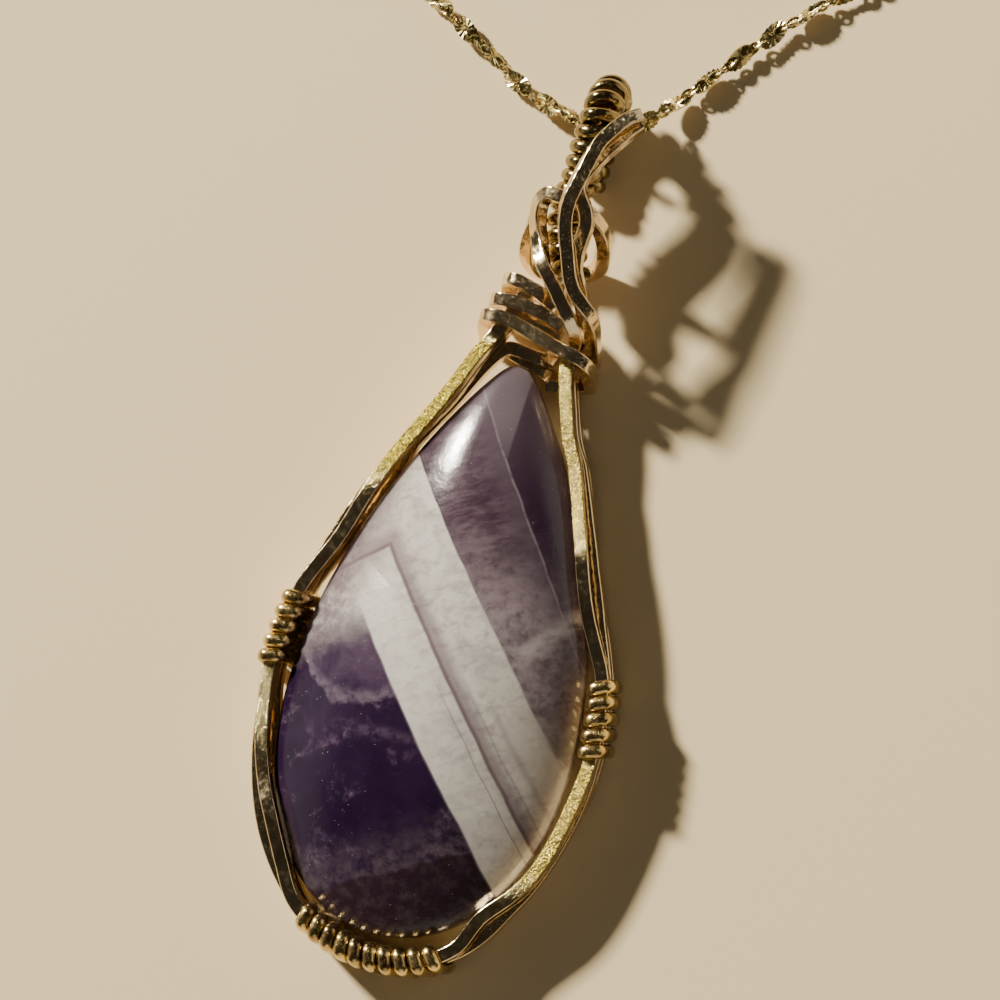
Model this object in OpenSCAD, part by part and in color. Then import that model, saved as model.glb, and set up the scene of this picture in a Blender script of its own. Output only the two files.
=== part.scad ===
// Wire-wrapped amethyst pendant on its chain, lying on a flat surface.
// +Y runs from the stone to the bail, +Z out of the face.
// The origin is the middle of the stone's flat back, on the surface.

/* [Stone] */
// Length of the stone, from tip to foot
stone_l = 30.4; // [29.6:0.1:31.2]
// Width of the stone
stone_w = 15.7; // [15:0.1:16.4]
// Thickness of the stone
stone_t = 4.9; // [4.4:0.1:5.4]
// How strongly the sides draw in towards the tip
stone_taper = 0.81; // [0.76:0.01:0.86]
// Rounding radius of the tip
tip_r = 1; // [0.6:0.1:1.2]

/* [Frame wires] */
// Side of the square frame wire
wire_w = 0.72; // [0.64:0.01:0.74]
// Distance from the stone's edge to the middle of a frame wire
ring_gap = 1.07; // [1.04:0.01:1.2]

/* [Wraps] */
// Width of the half-round wrap wire
wrap_w = 0.74; // [0.6:0.01:0.76]
// Thickness of the half-round wrap wire
wrap_t = 0.3; // [0.2:0.01:0.3]
// Turns in each side wrap
side_turns = 5; // [3:1:6]
// Turns in the bottom wrap
bottom_turns = 10; // [7:1:11]

/* [Bail] */
// Outer diameter of the coil on the bail
coil_d = 2.1; // [2:0.1:2.2]
// Diameter of the round wire that the coil is wound from
coil_wire_d = 0.76; // [0.6:0.02:0.76]
// Distance between neighbouring turns of the coil
coil_pitch = 0.79; // [0.79:0.01:1]
// Diameter of the round core wire inside the coil
core_d = 0.45; // [0.3:0.05:0.45]

/* [Chain] */
// Width over the links of the chain
chain_d = 1.2; // [0.8:0.1:1.2]
// Outer diameter of the clasp ring
clasp_d = 5.8; // [5:0.1:6.5]

/* [Hidden] */

gold = [0.80, 0.65, 0.34];
bright_gold = [0.86, 0.74, 0.44];
amethyst = [0.36, 0.24, 0.46];

// Clear gaps left between two wires, and between the stack and a wrap beside and above it
slack = 0.04;
wrap_slack = 0.13;
wrap_crown = 0.2;

// Stone: heights of the girdle, and how its outline is drawn
girdle_low = 1.3;
girdle_top = 2.1;
back_scale = 0.84;
stone_sides = 60;
belly_y = -2;
dome_power = 0.8;
dome_scales = [0.985, 0.95, 0.9, 0.82, 0.71, 0.57, 0.4, 0.2];
angle_bias = 0.85;

// Half length, half width and middle of the oval that the dome's contours pass into
inner_l = 12.5;
inner_w = 7.6;
inner_y = -1.8;

// Frame: three square wires stacked in Z between the turns of the wraps
wire_count = 3;
stack_pitch = wire_w + slack;
stack_low = wrap_t + wrap_crown + slack + wire_w / 2;
stack_mid = stack_low + stack_pitch;
stack_top = stack_mid + stack_pitch;

// Everything above the stone is placed from its tip
tip = [0, stone_l / 2, 0];

// Middle of each wrap, as an angle round the stone, and the pitch of its turns in degrees
left_wrap_at = 229.2;
right_wrap_at = 134;
bottom_wrap_at = 180.9;
side_step = 1.94;
bottom_step = 2.07;

// A wrap's turn is a rounded box, drawn through these angles of each quarter
wrap_power = 4;
quarter_angles = [38, 52, 90];

// Distance of the frame from the stone's edge: [angle, distance less ring_gap]
frame_rows = [[88, 0], [128, 0], [140, 0.03], [152, 0.12], [164, 0.22], [173, 0.25], [180, 0.1],
              [189, -0.12], [197, -0.12], [210, -0.06], [224, 0], [266, 0]];

// How far the front wire is bent in over the stone: [angle, distance]
front_lean = [[263, 0.33], [257, 0.35], [250, 0.4], [245, 0.52], [242, 0.5], [238, 0.26],
              [235.5, 0.06], [234, 0], [229, 0], [224, 0], [221, 0.12], [218.8, 0.24],
              [214, 0.4], [209, 0.64], [204.5, 0.86], [200.5, 0.8], [197.5, 0.55], [195, 0.28],
              [193, 0.06], [191, 0], [185, 0], [181, 0], [177, 0], [173, 0], [170, 0],
              [168, 0.08], [166.4, 0.3], [165, 0.65], [163, 0.88], [161, 0.84], [159, 0.7],
              [157, 0.54], [154, 0.42], [150, 0.35], [146, 0.3], [142, 0.16], [139.5, 0.04],
              [138, 0], [134, 0], [128.4, 0], [127, 0.16], [124.5, 0.46], [121.5, 0.74],
              [118, 0.88], [114, 0.9], [111, 0.85], [105.5, 0.74], [100, 0.58], [94, 0.38]];

// How far the middle wire is bent in beside the stone: [angle, distance]
middle_lean = [[263, 0.12], [250, 0.1], [240, 0.06], [234, 0], [224, 0], [210, 0.1], [200, 0.1],
               [192, 0.02], [186, 0], [180, 0], [174, 0], [167, 0.02], [160, 0.4], [150, 0.3],
               [141, 0.04], [137, 0], [129, 0], [122, 0.4], [114, 0.55], [106, 0.5], [94, 0.24]];

// The back wire is bent in under the stone and down to the surface: [angle, in, down]
back_lean = [[263, 0.2, 0], [256, 0.5, 0.2], [248, 0.75, 0.4], [240, 0.3, 0.1], [235, 0, 0],
             [229, 0, 0], [223.5, 0, 0], [216, 0.5, 0.3], [207, 0.8, 0.4], [198, 0.4, 0.2],
             [191.5, 0, 0], [186, 0, 0], [180, 0, 0], [174, 0, 0], [169, 0, 0], [161, 0.7, 0.4],
             [150, 0.7, 0.4], [142, 0.1, 0.05], [138, 0, 0], [129, 0, 0], [121, 0.5, 0.3],
             [112, 0.75, 0.4], [103, 0.5, 0.2], [95, 0.25, 0]];

// Routes above the stone: [x, y above the tip, z, roll of the section where it isn't level]
front_left_end = [[1.15, 3.42, 2.3], [0.6, 3.78, 2.42], [0.1, 3.92, 2.55], [-0.35, 3.75, 2.65],
                  [-0.65, 3.25, 2.67], [-0.88, 2.6, 2.66], [-1.18, 1.9, 2.66],
                  [-1.58, 1.1, 2.67], [-2.18, 0, 2.67], [-3.3, -2.4, 2.5]];
front_right_end = [[3.65, -3.1, 2.5], [3.15, -1.5, 2.65], [2.77, -0.2, 2.69], [2.65, 0.6, 2.69],
                   [2.75, 1.3, 2.69], [2.88, 1.75, 2.95], [2.84, 2.15, 3.65], [2.58, 2.6, 4.25],
                   [2.16, 3.14, 4.65, 8], [1.68, 3.74, 4.88, 14], [1.18, 4.35, 4.96, 12],
                   [0.68, 4.97, 4.9], [0.28, 5.66, 4.7, -20], [0, 6.37, 4.5, -36],
                   [-0.3, 7.06, 4.35, -44], [-0.45, 7.77, 4.35, -46], [-0.38, 8.4, 4.6, -34],
                   [-0.02, 8.75, 4.9, -14], [0.5, 8.72, 5.05], [1.2, 8.6, 5.1],
                   [1.9, 8.4, 4.95, 20], [2.48, 8.02, 4.4, 55], [2.88, 7.6, 3.8, 80],
                   [3.05, 7.08, 3, 90], [2.96, 6.6, 2.1, 105], [2.7, 6.25, 1.2, 130],
                   [2.15, 5.85, 0.55, 165], [1.2, 5.5, 0.37, 180], [0.3, 5.35, 0.4, 185],
                   [-0.5, 5.3, 0.6, 205], [-1, 5.6, 1.15, 240], [-1.17, 6.05, 1.8, 262],
                   [-1.12, 6.6, 2.4, 272], [-0.95, 7.15, 2.95, 285], [-0.8, 7.5, 3.3, 295]];
middle_left_end = [[1.75, 2, 1.9], [1.2, 2.25, 1.9], [0.5, 2.45, 1.9], [-0.2, 2.5, 1.9],
                   [-0.85, 2.25, 1.9], [-1.25, 1.75, 1.9], [-1.6, 1.05, 1.92], [-2.18, 0, 1.9],
                   [-3.3, -2.4, 1.74]];
middle_right_end = [[3.7, -3.1, 1.74], [3.2, -1.5, 1.88], [2.8, -0.2, 1.93], [2.68, 0.6, 1.93],
                    [2.75, 1.5, 1.93], [2.86, 2.1, 2], [2.9, 2.75, 2.35], [2.9, 3.25, 3],
                    [2.87, 3.65, 3.7], [2.78, 4.1, 4.25], [2.55, 4.6, 4.72], [2.35, 5.2, 5],
                    [2.3, 5.9, 5.2], [2.4, 6.65, 5.42], [2.5, 7.4, 5.62], [2.36, 8.05, 5.8],
                    [1.95, 8.65, 5.9], [1.72, 9.15, 5.9], [1.76, 9.7, 5.86], [2.05, 10.35, 5.8],
                    [2.42, 11.1, 5.7], [2.9, 11.92, 5.46], [3.35, 12.65, 5.14],
                    [3.75, 13.25, 4.8]];
back_left_end = [[1.45, 0.8, 1.65, 60], [1.15, 0.72, 1.27, 30], [0.4, 0.78, 1.14],
                 [-0.4, 0.92, 1.14], [-1, 0.92, 1.14], [-1.5, 0.5, 1.14], [-2.12, -0.4, 1.12],
                 [-3.3, -2.5, 0.97]];
back_right_end = [[3.75, -3.1, 0.97], [3.2, -1.5, 1.12], [2.8, -0.2, 1.14], [2.68, 0.7, 1.14],
                  [2.7, 1.4, 1.14]];
neck_band_route = [[2.6, -0.15, 0.37, 180], [3.1, -0.12, 0.37, 180], [3.6, -0.02, 0.6, 135],
                   [3.75, 0.1, 1.3, 95], [3.74, 0.38, 2.3, 85], [3.58, 0.68, 3.12, 45],
                   [3, 0.97, 3.5], [2.2, 1.17, 3.45], [1.2, 1.47, 3.44], [0.3, 1.75, 3.44],
                   [-0.5, 2, 3.44], [-1.3, 2.12, 3.45], [-1.95, 2.1, 3.25, -45],
                   [-2.22, 1.9, 2.65, -80], [-2.3, 1.68, 1.95, -90], [-2.36, 1.45, 1.1, -100],
                   [-2.33, 1.25, 0.55, -135], [-1.6, 1.05, 0.37, -180], [-0.6, 0.7, 0.37, -180],
                   [0.7, 0.3, 0.37, -180], [1.4, 0.05, 0.55, -200], [1.8, -0.3, 1, -240],
                   [1.95, -0.6, 1.75, -270]];
upper_ring_route = [[0.8, 3.58, 3.26, 25], [0.35, 3.83, 3.42, 10], [-0.15, 4, 3.46],
                    [-0.6, 4.13, 3.44], [-1, 4.2, 3.4], [-1.35, 4.2, 3.1, -45],
                    [-1.5, 4.05, 2.6, -75], [-1.52, 3.85, 2, -90], [-1.48, 3.8, 1.35, -105],
                    [-1.1, 3.8, 1, -150], [-0.4, 3.8, 0.97, -180], [0.2, 3.75, 0.97, -180]];
scroll_route = [[3.85, 13.62, 5.6, 10], [3.45, 13.3, 5.9, 8], [3.05, 12.8, 6.2, 10],
                [2.64, 12.17, 6.42, 14], [2.33, 11.6, 6.58, 20], [2.13, 10.95, 6.68, 25],
                [1.98, 10.35, 6.72, 28], [1.83, 9.72, 6.76, 30], [1.7, 9.12, 6.8, 30],
                [1.55, 8.35, 6.8, 28], [1.52, 7.62, 6.65, 25], [1.62, 6.95, 6.48, 20],
                [1.8, 6.3, 6.3, 15], [2, 5.71, 6.1, 10], [2.2, 5.1, 5.92, 5],
                [2.42, 4.5, 5.72, 0], [2.75, 3.9, 5.45, 5], [3.2, 3.4, 5.1, 20],
                [3.55, 3, 4.6, 40], [3.7, 2.55, 3.9, 65], [3.71, 2.1, 3.1, 80],
                [3.67, 1.7, 2.3, 90], [3.6, 1.45, 1.5, 95], [3.55, 1.35, 0.85, 115],
                [3.3, 1.3, 0.45, 150], [2.9, 1.33, 0.37, 180], [2, 1.55, 0.37, 180],
                [0.8, 1.8, 0.37, 180], [-0.4, 2.1, 0.38, 180], [-1.3, 2.35, 0.42, 195],
                [-1.8, 2.55, 1, 245], [-1.93, 2.75, 1.8, 270], [-1.9, 2.92, 2.6, 280],
                [-1.68, 3.02, 3.25, 320], [-1.15, 3.06, 3.46, 360], [-0.4, 3.04, 3.44, 360],
                [0.7, 2.84, 3.44, 360], [1.5, 2.56, 3.44, 360], [2.1, 2.3, 3.44, 360]];
core_route = [[1.95, 2.9, 2.62, 90], [1.9, 3.7, 2.75, 90], [1.85, 4.5, 2.95, 90],
              [1.6, 5.5, 3.15, 90], [1.15, 6.4, 3.25, 90], [0.9, 7.4, 3.4, 90],
              [0.88, 8.4, 3.55, 90], [1, 9.3, 3.65, 90], [1.15, 10.1, 3.85, 90],
              [1.25, 11, 4.15, 90], [1.35, 11.9, 4.4, 90], [1.47, 12.8, 4.58, 90],
              [1.53, 13.7, 4.5, 90], [1.5, 14.4, 4, 90], [1.45, 14.85, 3.3, 90],
              [1.4, 14.87, 2.5, 90], [1.3, 14.4, 1.75, 90], [1.1, 13.6, 1.25, 90],
              [0.95, 12.4, 1.1, 90], [0.87, 11, 1.09, 90], [0.8, 9.5, 1.09, 90],
              [0.8, 8, 1.09, 90], [0.9, 6.5, 1.09, 90], [1, 5, 1.09, 90], [1.1, 3.4, 1.09, 90],
              [1.15, 1.8, 1.09, 90]];
chain_left_route = [[1.38, 12.95, 2.86], [1, 12.95, 2.86], [0.5, 13, 2.78], [-0.4, 13.4, 2.25],
                    [-1.5, 13.95, 1.2], [-2.6, 14.2, 0.66], [-3.7, 14.6, 0.62], [-5, 15.5, 0.62],
                    [-10.2, 18.8, 0.62], [-22, 26.5, 0.62], [-38, 38, 0.62], [-53, 54, 0.62],
                    [-63, 74, 0.62], [-67, 97, 0.62], [-65, 120, 0.62], [-57, 140, 0.62],
                    [-43, 156, 0.62], [-24, 166, 0.62], [-9, 168, 0.62], [-3, 168, 0.62]];
chain_right_route = [[1.52, 12.95, 2.86], [1.9, 12.95, 2.86], [2.4, 13.1, 2.75],
                     [3.1, 13.8, 2.2], [3.9, 14.9, 1.15], [4.6, 15.9, 0.66], [5.5, 16.9, 0.62],
                     [10.5, 22.1, 0.62], [22, 31.5, 0.62], [38, 43, 0.62], [53, 57, 0.62],
                     [65, 75, 0.62], [70, 97, 0.62], [69, 119, 0.62], [61, 140, 0.62],
                     [46, 156, 0.62], [27, 166, 0.62], [12, 168, 0.62], [6, 168, 0.62]];

// Smoothness: degrees between two rings round the stone, rings between two points of a route
ring_from = 263;
ring_to = 94;
ring_step = 2.6;
end_steps = 2;
chain_steps = 2;

// How the front wire rises over the stone's shoulder: slope before it, and rounding
rise = 1.5;
rise_blend = 0.1;

// Coil: where it starts and ends along the core, and rings in a turn
coil_start = 2.3;
coil_end = 19.3;
coil_ring_points = 10;
coil_sides = 6;
core_sides = 8;
core_steps = 4;
chain_sides = 8;

// Clasp: a ring with a small loop on either side for the ends of the chain
clasp_wire_d = 1.1;
clasp_loop_d = 2.1;
clasp_loop_wire_d = 0.6;
clasp_at = [1.5, 168, 0.62];
clasp_fn = 48;

function unit(v) = v / norm(v);

// Height and sideways reach of the outline's widest place, before rounding
belly_sine = sqrt((1 + stone_taper) / (2 + stone_taper));
reach = 2 * sqrt(1 / (2 + stone_taper)) * pow(belly_sine, 1 + stone_taper);
core_w = (stone_w / 2 - tip_r) / reach;
core_l = stone_l - 2 * tip_r;

// The outline before rounding, which runs clockwise from the tip
function bent(angle) = angle - angle_bias * sin(angle) * 180 / PI;
function bare_outline(angle) =
    let (u = bent(angle))
    [core_w * sin(u) * pow(abs(sin(u / 2)), stone_taper), core_l / 2 * cos(u)];
function outward(angle) =
    let (step = 0.5, v = unit(bare_outline(angle + step) - bare_outline(angle - step)))
    [-v[1], v[0]];
function outline(angle, distance) =
    bare_outline(angle) + (tip_r + distance) * outward(angle);

// Height of the stone's dome at a distance in from its edge
function dome_z(scale) = girdle_top
    + (stone_t - girdle_top) * pow(1 - scale * scale, dome_power);
function shoulder_z(inset) = dome_z(1 - max(inset, 0) / (stone_w / 2));

// A smooth curve through the points of a route
function curve_point(a, b, c, d, f) =
    b + 0.5 * f * (c - a + f * (2 * a - 5 * b + 4 * c - d + f * (3 * (b - c) + d - a)));
function curve(route, steps) =
    let (last = len(route) - 1)
    [for (i = [0:last - 1]) for (s = [0:steps - 1])
        curve_point(route[max(i - 1, 0)], route[i], route[i + 1], route[min(i + 2, last)],
                    s / steps),
     route[last]];

// Directions along a path, and the section's upward side from its roll
function directions(path) =
    let (last = len(path) - 1)
    [for (i = [0:last]) unit(path[min(i + 1, last)] - path[max(i - 1, 0)])];
function square_to(v, direction) = unit(v - (v * direction) * direction);
function place(row) = [row[0], row[1], row[2]];
function upward(row) = [sin(row[3]), 0, cos(row[3])];

// A solid swept along a path, with the section's [right, up] points turned to each upward side
module sweep(path, section, ups) {
    dirs = directions(path);
    n = len(section);
    last = len(path) - 1;
    points = [for (i = [0:last])
                  let (up = square_to(ups[i], dirs[i]), right = cross(dirs[i], up))
                  for (p = section) path[i] + p[0] * right + p[1] * up];
    skin = [for (i = [0:last - 1]) for (j = [0:n - 1])
                let (a = i * n + j, b = i * n + (j + 1) % n)
                for (f = [[a, b + n, a + n], [a, b, b + n]]) f];
    start = [for (j = [n - 1:-1:0]) j];
    end = [for (j = [0:n - 1]) last * n + j];
    polyhedron(points, concat(skin, [start, end]));
}

function square_section(w) = [for (p = [[-1, -1], [1, -1], [1, 1], [-1, 1]]) p * w / 2];
function round_section(d, sides) =
    [for (i = [0:sides - 1]) d / 2 * [cos(360 * i / sides), sin(360 * i / sides)]];
half_round_section = [[-0.5 * wrap_w, -0.5 * wrap_t], [0.5 * wrap_w, -0.5 * wrap_t],
                      [0.44 * wrap_w, 0.1 * wrap_t], [0.2 * wrap_w, 0.5 * wrap_t],
                      [-0.2 * wrap_w, 0.5 * wrap_t], [-0.44 * wrap_w, 0.1 * wrap_t]];

// A wire along rows of [x, y, z, roll]
module wire(rows, section) {
    sweep([for (r = rows) place(r)], section, [for (r = rows) upward(r)]);
}

function from_tip(route) =
    [for (p = route) [tip[0] + p[0], tip[1] + p[1], p[2], is_undef(p[3]) ? 0 : p[3]]];

// Frame wires: up from the neck on the left, round the stone and back up on the right
function frame_distance(angle) = ring_gap + lookup(angle, frame_rows);
function column(table, k) = [for (r = table) [r[0], r[k]]];
function smooth(angle, table) =
    (lookup(angle - ring_step / 2, table) + 2 * lookup(angle, table)
     + lookup(angle + ring_step / 2, table)) / 4;
function at_frame(angle, lean, z) =
    let (p = outline(angle, frame_distance(angle) - lean)) [p[0], p[1], z, 0];
function front_z(inset) =
    let (over = shoulder_z(inset) + rise * min(inset, 0) + wire_w / 2 + slack)
    (stack_top + over + norm([stack_top - over, rise_blend])) / 2;
function frame_rows_of(left_end, ring, right_end) =
    let (last = len(ring) - 1,
         lead = curve(concat(left_end, [ring[0], ring[1]]), end_steps),
         tail = curve(concat([ring[last - 1], ring[last]], right_end), end_steps))
    concat([for (i = [0:len(left_end) * end_steps - 1]) lead[i]],
           ring,
           [for (i = [end_steps + 1:len(tail) - 1]) tail[i]]);

ring_angles = [for (a = [ring_from:-ring_step:ring_to]) a];
front_lean_of = column(front_lean, 1);
middle_lean_of = column(middle_lean, 1);
back_lean_of = column(back_lean, 1);
back_drop_of = column(back_lean, 2);
front_ring = [for (a = ring_angles)
                  let (lean = smooth(a, front_lean_of))
                  at_frame(a, lean, front_z(wire_w / 2 + lean - frame_distance(a)))];
middle_ring = [for (a = ring_angles) at_frame(a, smooth(a, middle_lean_of), stack_mid)];
back_ring = [for (a = ring_angles)
                 at_frame(a, smooth(a, back_lean_of), stack_low - smooth(a, back_drop_of))];
front_rows = frame_rows_of(from_tip(front_left_end), front_ring, from_tip(front_right_end));
middle_rows = frame_rows_of(from_tip(middle_left_end), middle_ring, from_tip(middle_right_end));
back_rows = frame_rows_of(from_tip(back_left_end), back_ring, from_tip(back_right_end));

// The dome's contours pass from the outline into an oval as they rise
function oval(way) =
    let (far = [inner_w * way[0], inner_l * way[1]])
    [inner_w * far[0], inner_y * norm(far) + inner_l * far[1]] / norm(far);
function contour(angle, scale, share) =
    let (centre = [0, belly_y],
         edge = (1 - share) * outline(angle, 0) + share * oval(outward(angle)))
    centre + scale * (edge - centre);

module stone() {
    rings = concat([[back_scale, 0, 0], [(1 + back_scale) / 2, girdle_low / 2, 0],
                    [1, girdle_low, 0], [1, girdle_top, 0]],
                   [for (s = dome_scales) [s, dome_z(s), 1 - s * s]]);
    n = stone_sides;
    last = len(rings) - 1;
    points = concat([for (r = rings) for (i = [0:n - 1])
                         let (q = contour(360 * i / n, r[0], r[2])) [q[0], q[1], r[1]]],
                    [[0, belly_y, stone_t]]);
    skin = [for (k = [0:last - 1]) for (i = [0:n - 1])
                let (a = k * n + i, b = k * n + (i + 1) % n)
                for (f = [[a, b, b + n], [a, b + n, a + n]]) f];
    back = [for (i = [n - 1:-1:0]) i];
    crown = [for (i = [0:n - 1]) [last * n + i, last * n + (i + 1) % n, (last + 1) * n]];
    color(amethyst) polyhedron(points, concat(skin, [back], crown));
}

module front_wire() {
    color(bright_gold) wire(front_rows, square_section(wire_w));
}

module middle_wire() {
    color(gold) wire(middle_rows, square_section(wire_w));
}

module back_wire() {
    color(gold) wire(back_rows, square_section(wire_w));
}

// A wrap goes round the stack as a rounded box: its place at an angle of the turn as
// [outward, z], and its way out of the stack there
wrap_out = wire_w / 2 + wrap_slack + wrap_t / 2;
wrap_up = (wire_count * stack_pitch - slack) / 2 + wrap_crown + wrap_t / 2;
function wrap_place(a) =
    let (size = pow(pow(abs(cos(a)), wrap_power) + pow(abs(sin(a)), wrap_power),
                    -1 / wrap_power))
    [wrap_out * size * cos(a), wrap_up * size * sin(a)];
function wrap_way(a) = [sign(cos(a)) * pow(abs(cos(a)), wrap_power - 1) / wrap_out,
                        sign(sin(a)) * pow(abs(sin(a)), wrap_power - 1) / wrap_up];

module wrap(middle, turns, step) {
    turn_angles = [for (quarter = [-1:4 * turns - 2]) for (a = quarter_angles) 90 * quarter + a];
    path = [for (a = turn_angles)
                let (p = wrap_place(a), at = middle + (a / 360 - turns / 2) * step,
                     q = outline(at, frame_distance(at) + p[0]))
                [q[0], q[1], stack_mid + p[1]]];
    ups = [for (a = turn_angles)
               let (w = wrap_way(a), o = outward(middle + (a / 360 - turns / 2) * step))
               [o[0] * w[0], o[1] * w[0], w[1]]];
    color(gold) sweep(path, half_round_section, ups);
}

module left_wrap() {
    wrap(left_wrap_at, side_turns, side_step);
}

module right_wrap() {
    wrap(right_wrap_at, side_turns, side_step);
}

module bottom_wrap() {
    wrap(bottom_wrap_at, bottom_turns, bottom_step);
}

module neck_band() {
    color(gold) wire(curve(from_tip(neck_band_route), end_steps), square_section(wire_w));
}

module upper_ring() {
    color(gold) wire(curve(from_tip(upper_ring_route), end_steps), square_section(wire_w));
}

module scroll_wire() {
    color(gold) wire(curve(from_tip(scroll_route), end_steps), square_section(wire_w));
}

module bail_core() {
    color(gold) wire(curve(from_tip(core_route), end_steps), round_section(core_d, core_sides));
}

// The coil winds round the core at an even pitch
core_path = [for (r = curve(from_tip(core_route), core_steps)) place(r)];
core_lengths = [for (i = 0, s = 0; i < len(core_path);
                     s = s + norm(core_path[min(i + 1, len(core_path) - 1)] - core_path[i]),
                     i = i + 1) s];
function core_axis(k) = [for (i = [0:len(core_path) - 1]) [core_lengths[i], core_path[i][k]]];
core_axes = [core_axis(0), core_axis(1), core_axis(2)];
function core_at(s) = [for (k = [0:2]) lookup(s, core_axes[k])];

module bail_coil() {
    half_step = 0.3;
    count = floor((coil_end - coil_start) / coil_pitch * coil_ring_points);
    winding = (coil_d - coil_wire_d) / 2;
    ways = [for (i = [0:count])
                let (s = coil_start + i * coil_pitch / coil_ring_points,
                     along = unit(core_at(s + half_step) - core_at(s - half_step)),
                     side = square_to([1, 0, 0], along),
                     a = 360 * i / coil_ring_points)
                cos(a) * side + sin(a) * cross(along, side)];
    path = [for (i = [0:count])
                core_at(coil_start + i * coil_pitch / coil_ring_points) + winding * ways[i]];
    color(bright_gold) sweep(path, round_section(coil_wire_d, coil_sides), ways);
}

module chain_left() {
    color(gold) wire(curve(from_tip(chain_left_route), chain_steps),
                     round_section(chain_d, chain_sides));
}

module chain_right() {
    color(gold) wire(curve(from_tip(chain_right_route), chain_steps),
                     round_section(chain_d, chain_sides));
}

module loop(outer_d, thick_d) {
    rotate_extrude($fn = clasp_fn) translate([(outer_d - thick_d) / 2, 0])
        circle(d = thick_d, $fn = clasp_fn);
}

module clasp() {
    reach_x = clasp_d / 2 + clasp_loop_d / 2 - clasp_loop_wire_d;
    color(gold) translate(tip + clasp_at) {
        loop(clasp_d, clasp_wire_d);
        for (side = [-1, 1]) {
            translate([side * reach_x, 0, 0]) loop(clasp_loop_d, clasp_loop_wire_d);
        }
    }
}

stone();
front_wire();
middle_wire();
back_wire();
left_wrap();
right_wrap();
bottom_wrap();
neck_band();
upper_ring();
scroll_wire();
bail_core();
bail_coil();
chain_left();
chain_right();
clasp();
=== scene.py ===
"""Looks of a wire-wrapped amethyst pendant on its chain, lying on a pale floor.

Lengths are named in millimetres, as the part's own routes are, and scaled to metres where a
mesh is made. The frame's wires, wraps, coil and chain are built again at a finer step from
the same routes, and each new piece stands for its solid.
"""
import math
import random

import bpy
import numpy as np
from mathutils import Matrix, Vector


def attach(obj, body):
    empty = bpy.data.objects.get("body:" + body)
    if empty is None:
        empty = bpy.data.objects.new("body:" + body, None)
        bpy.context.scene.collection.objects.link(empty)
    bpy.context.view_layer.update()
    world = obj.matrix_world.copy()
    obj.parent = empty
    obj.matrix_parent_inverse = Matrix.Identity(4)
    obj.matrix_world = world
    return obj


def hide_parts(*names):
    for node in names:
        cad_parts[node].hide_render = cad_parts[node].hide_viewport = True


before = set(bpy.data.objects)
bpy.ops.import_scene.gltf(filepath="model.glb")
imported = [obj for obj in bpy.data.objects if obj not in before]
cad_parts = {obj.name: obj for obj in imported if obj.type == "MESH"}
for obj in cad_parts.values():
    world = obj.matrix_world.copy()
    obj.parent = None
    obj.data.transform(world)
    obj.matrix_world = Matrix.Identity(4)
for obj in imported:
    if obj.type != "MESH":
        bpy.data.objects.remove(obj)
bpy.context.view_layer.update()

MM = 0.001

# ---- Driving dimensions, as in the part ----
STONE_L = 30.4
STONE_W = 15.7
STONE_T = 4.9
STONE_TAPER = 0.81
TIP_R = 1
WIRE_W = 0.72
RING_GAP = 1.07
WRAP_W = 0.74
WRAP_T = 0.3
SIDE_TURNS = 5
BOTTOM_TURNS = 10
COIL_D = 2.1
COIL_WIRE_D = 0.76
COIL_PITCH = 0.79
CORE_D = 0.45
SLACK = 0.04
WRAP_SLACK = 0.13
WRAP_CROWN = 0.2
WRAP_POWER = 4
WRAP_FLAT = 0.4
GIRDLE_LOW = 1.3
GIRDLE_TOP = 2.1
BACK_SCALE = 0.84
BELLY_Y = -2
DOME_POWER = 0.8
INNER_L = 12.5
INNER_W = 7.6
INNER_Y = -1.8
ANGLE_BIAS = 0.85
WIRE_COUNT = 3
STACK_PITCH = WIRE_W + SLACK
STACK_LOW = WRAP_T + WRAP_CROWN + SLACK + WIRE_W / 2
STACK_MID = STACK_LOW + STACK_PITCH
STACK_TOP = STACK_MID + STACK_PITCH
RING_FROM = 263
RING_TO = 94
RING_STEP = 2.6
RISE = 1.5
RISE_BLEND = 0.1
COIL_START = 2.3
COIL_END = 19.3
TIP = np.array([0, STONE_L / 2, 0])

# Fineness of the rebuilt wires and stone, and the finish of the wires' edges and cut ends
RING_FINE = 8
END_STEPS = 8
CORE_STEPS = 12
COIL_RINGS = 40
TURN_STEPS = 48
COIL_AHEAD = 0.3
STONE_SIDES = 240
LOW_RINGS = 4
DOME_RINGS = 40
WIRE_SIDES = 16
CHAIN_STEPS = 12
CHAIN_AHEAD = 0.2
LINK_STEPS = 12
LINK_SIDES = 6
FAN_RIM = 32
EDGE_R = 0.1
END_BEVEL = 0.08

# Chain: small links, and fluted plates between every few of them
LINK_L = 0.88
LINK_W = 0.64
LINK_WIRE = 0.18
LINK_PITCH = 0.42
LINK_ROLL = 45
FAN_PITCH = 2.1
FAN_L = 1.8
FAN_W = 1.1
FAN_T = 0.16
FAN_FLUTE = 0.035
FAN_PINCH = 0.12
FAN_SCALLOP = 0.04
FAN_RIM_T = 0.7
FAN_DIMPLE = 0.3
FAN_BOSS = 0.3
FAN_BOSS_FLUTE = 0.02
FAN_ROLL = 45
FAN_ROLL_WAVE = 0.37
FAN_FROM = 2.4
# Most that a plate or a link is turned at random: its roll and its yaw, in degrees
FAN_TURN = (12, 16)
LINK_TURN = (14, 12)

# Middle of each wrap round the stone, and the pitch of its turns, in degrees. A wrap's wire
# starts and ends under the stack, at these angles of its first and past its last turn.
LEFT_WRAP_AT = 229.2
RIGHT_WRAP_AT = 134
BOTTOM_WRAP_AT = 180.9
SIDE_STEP = 1.94
BOTTOM_STEP = 2.07
WRAP_START = -52
WRAP_END = -90

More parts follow.
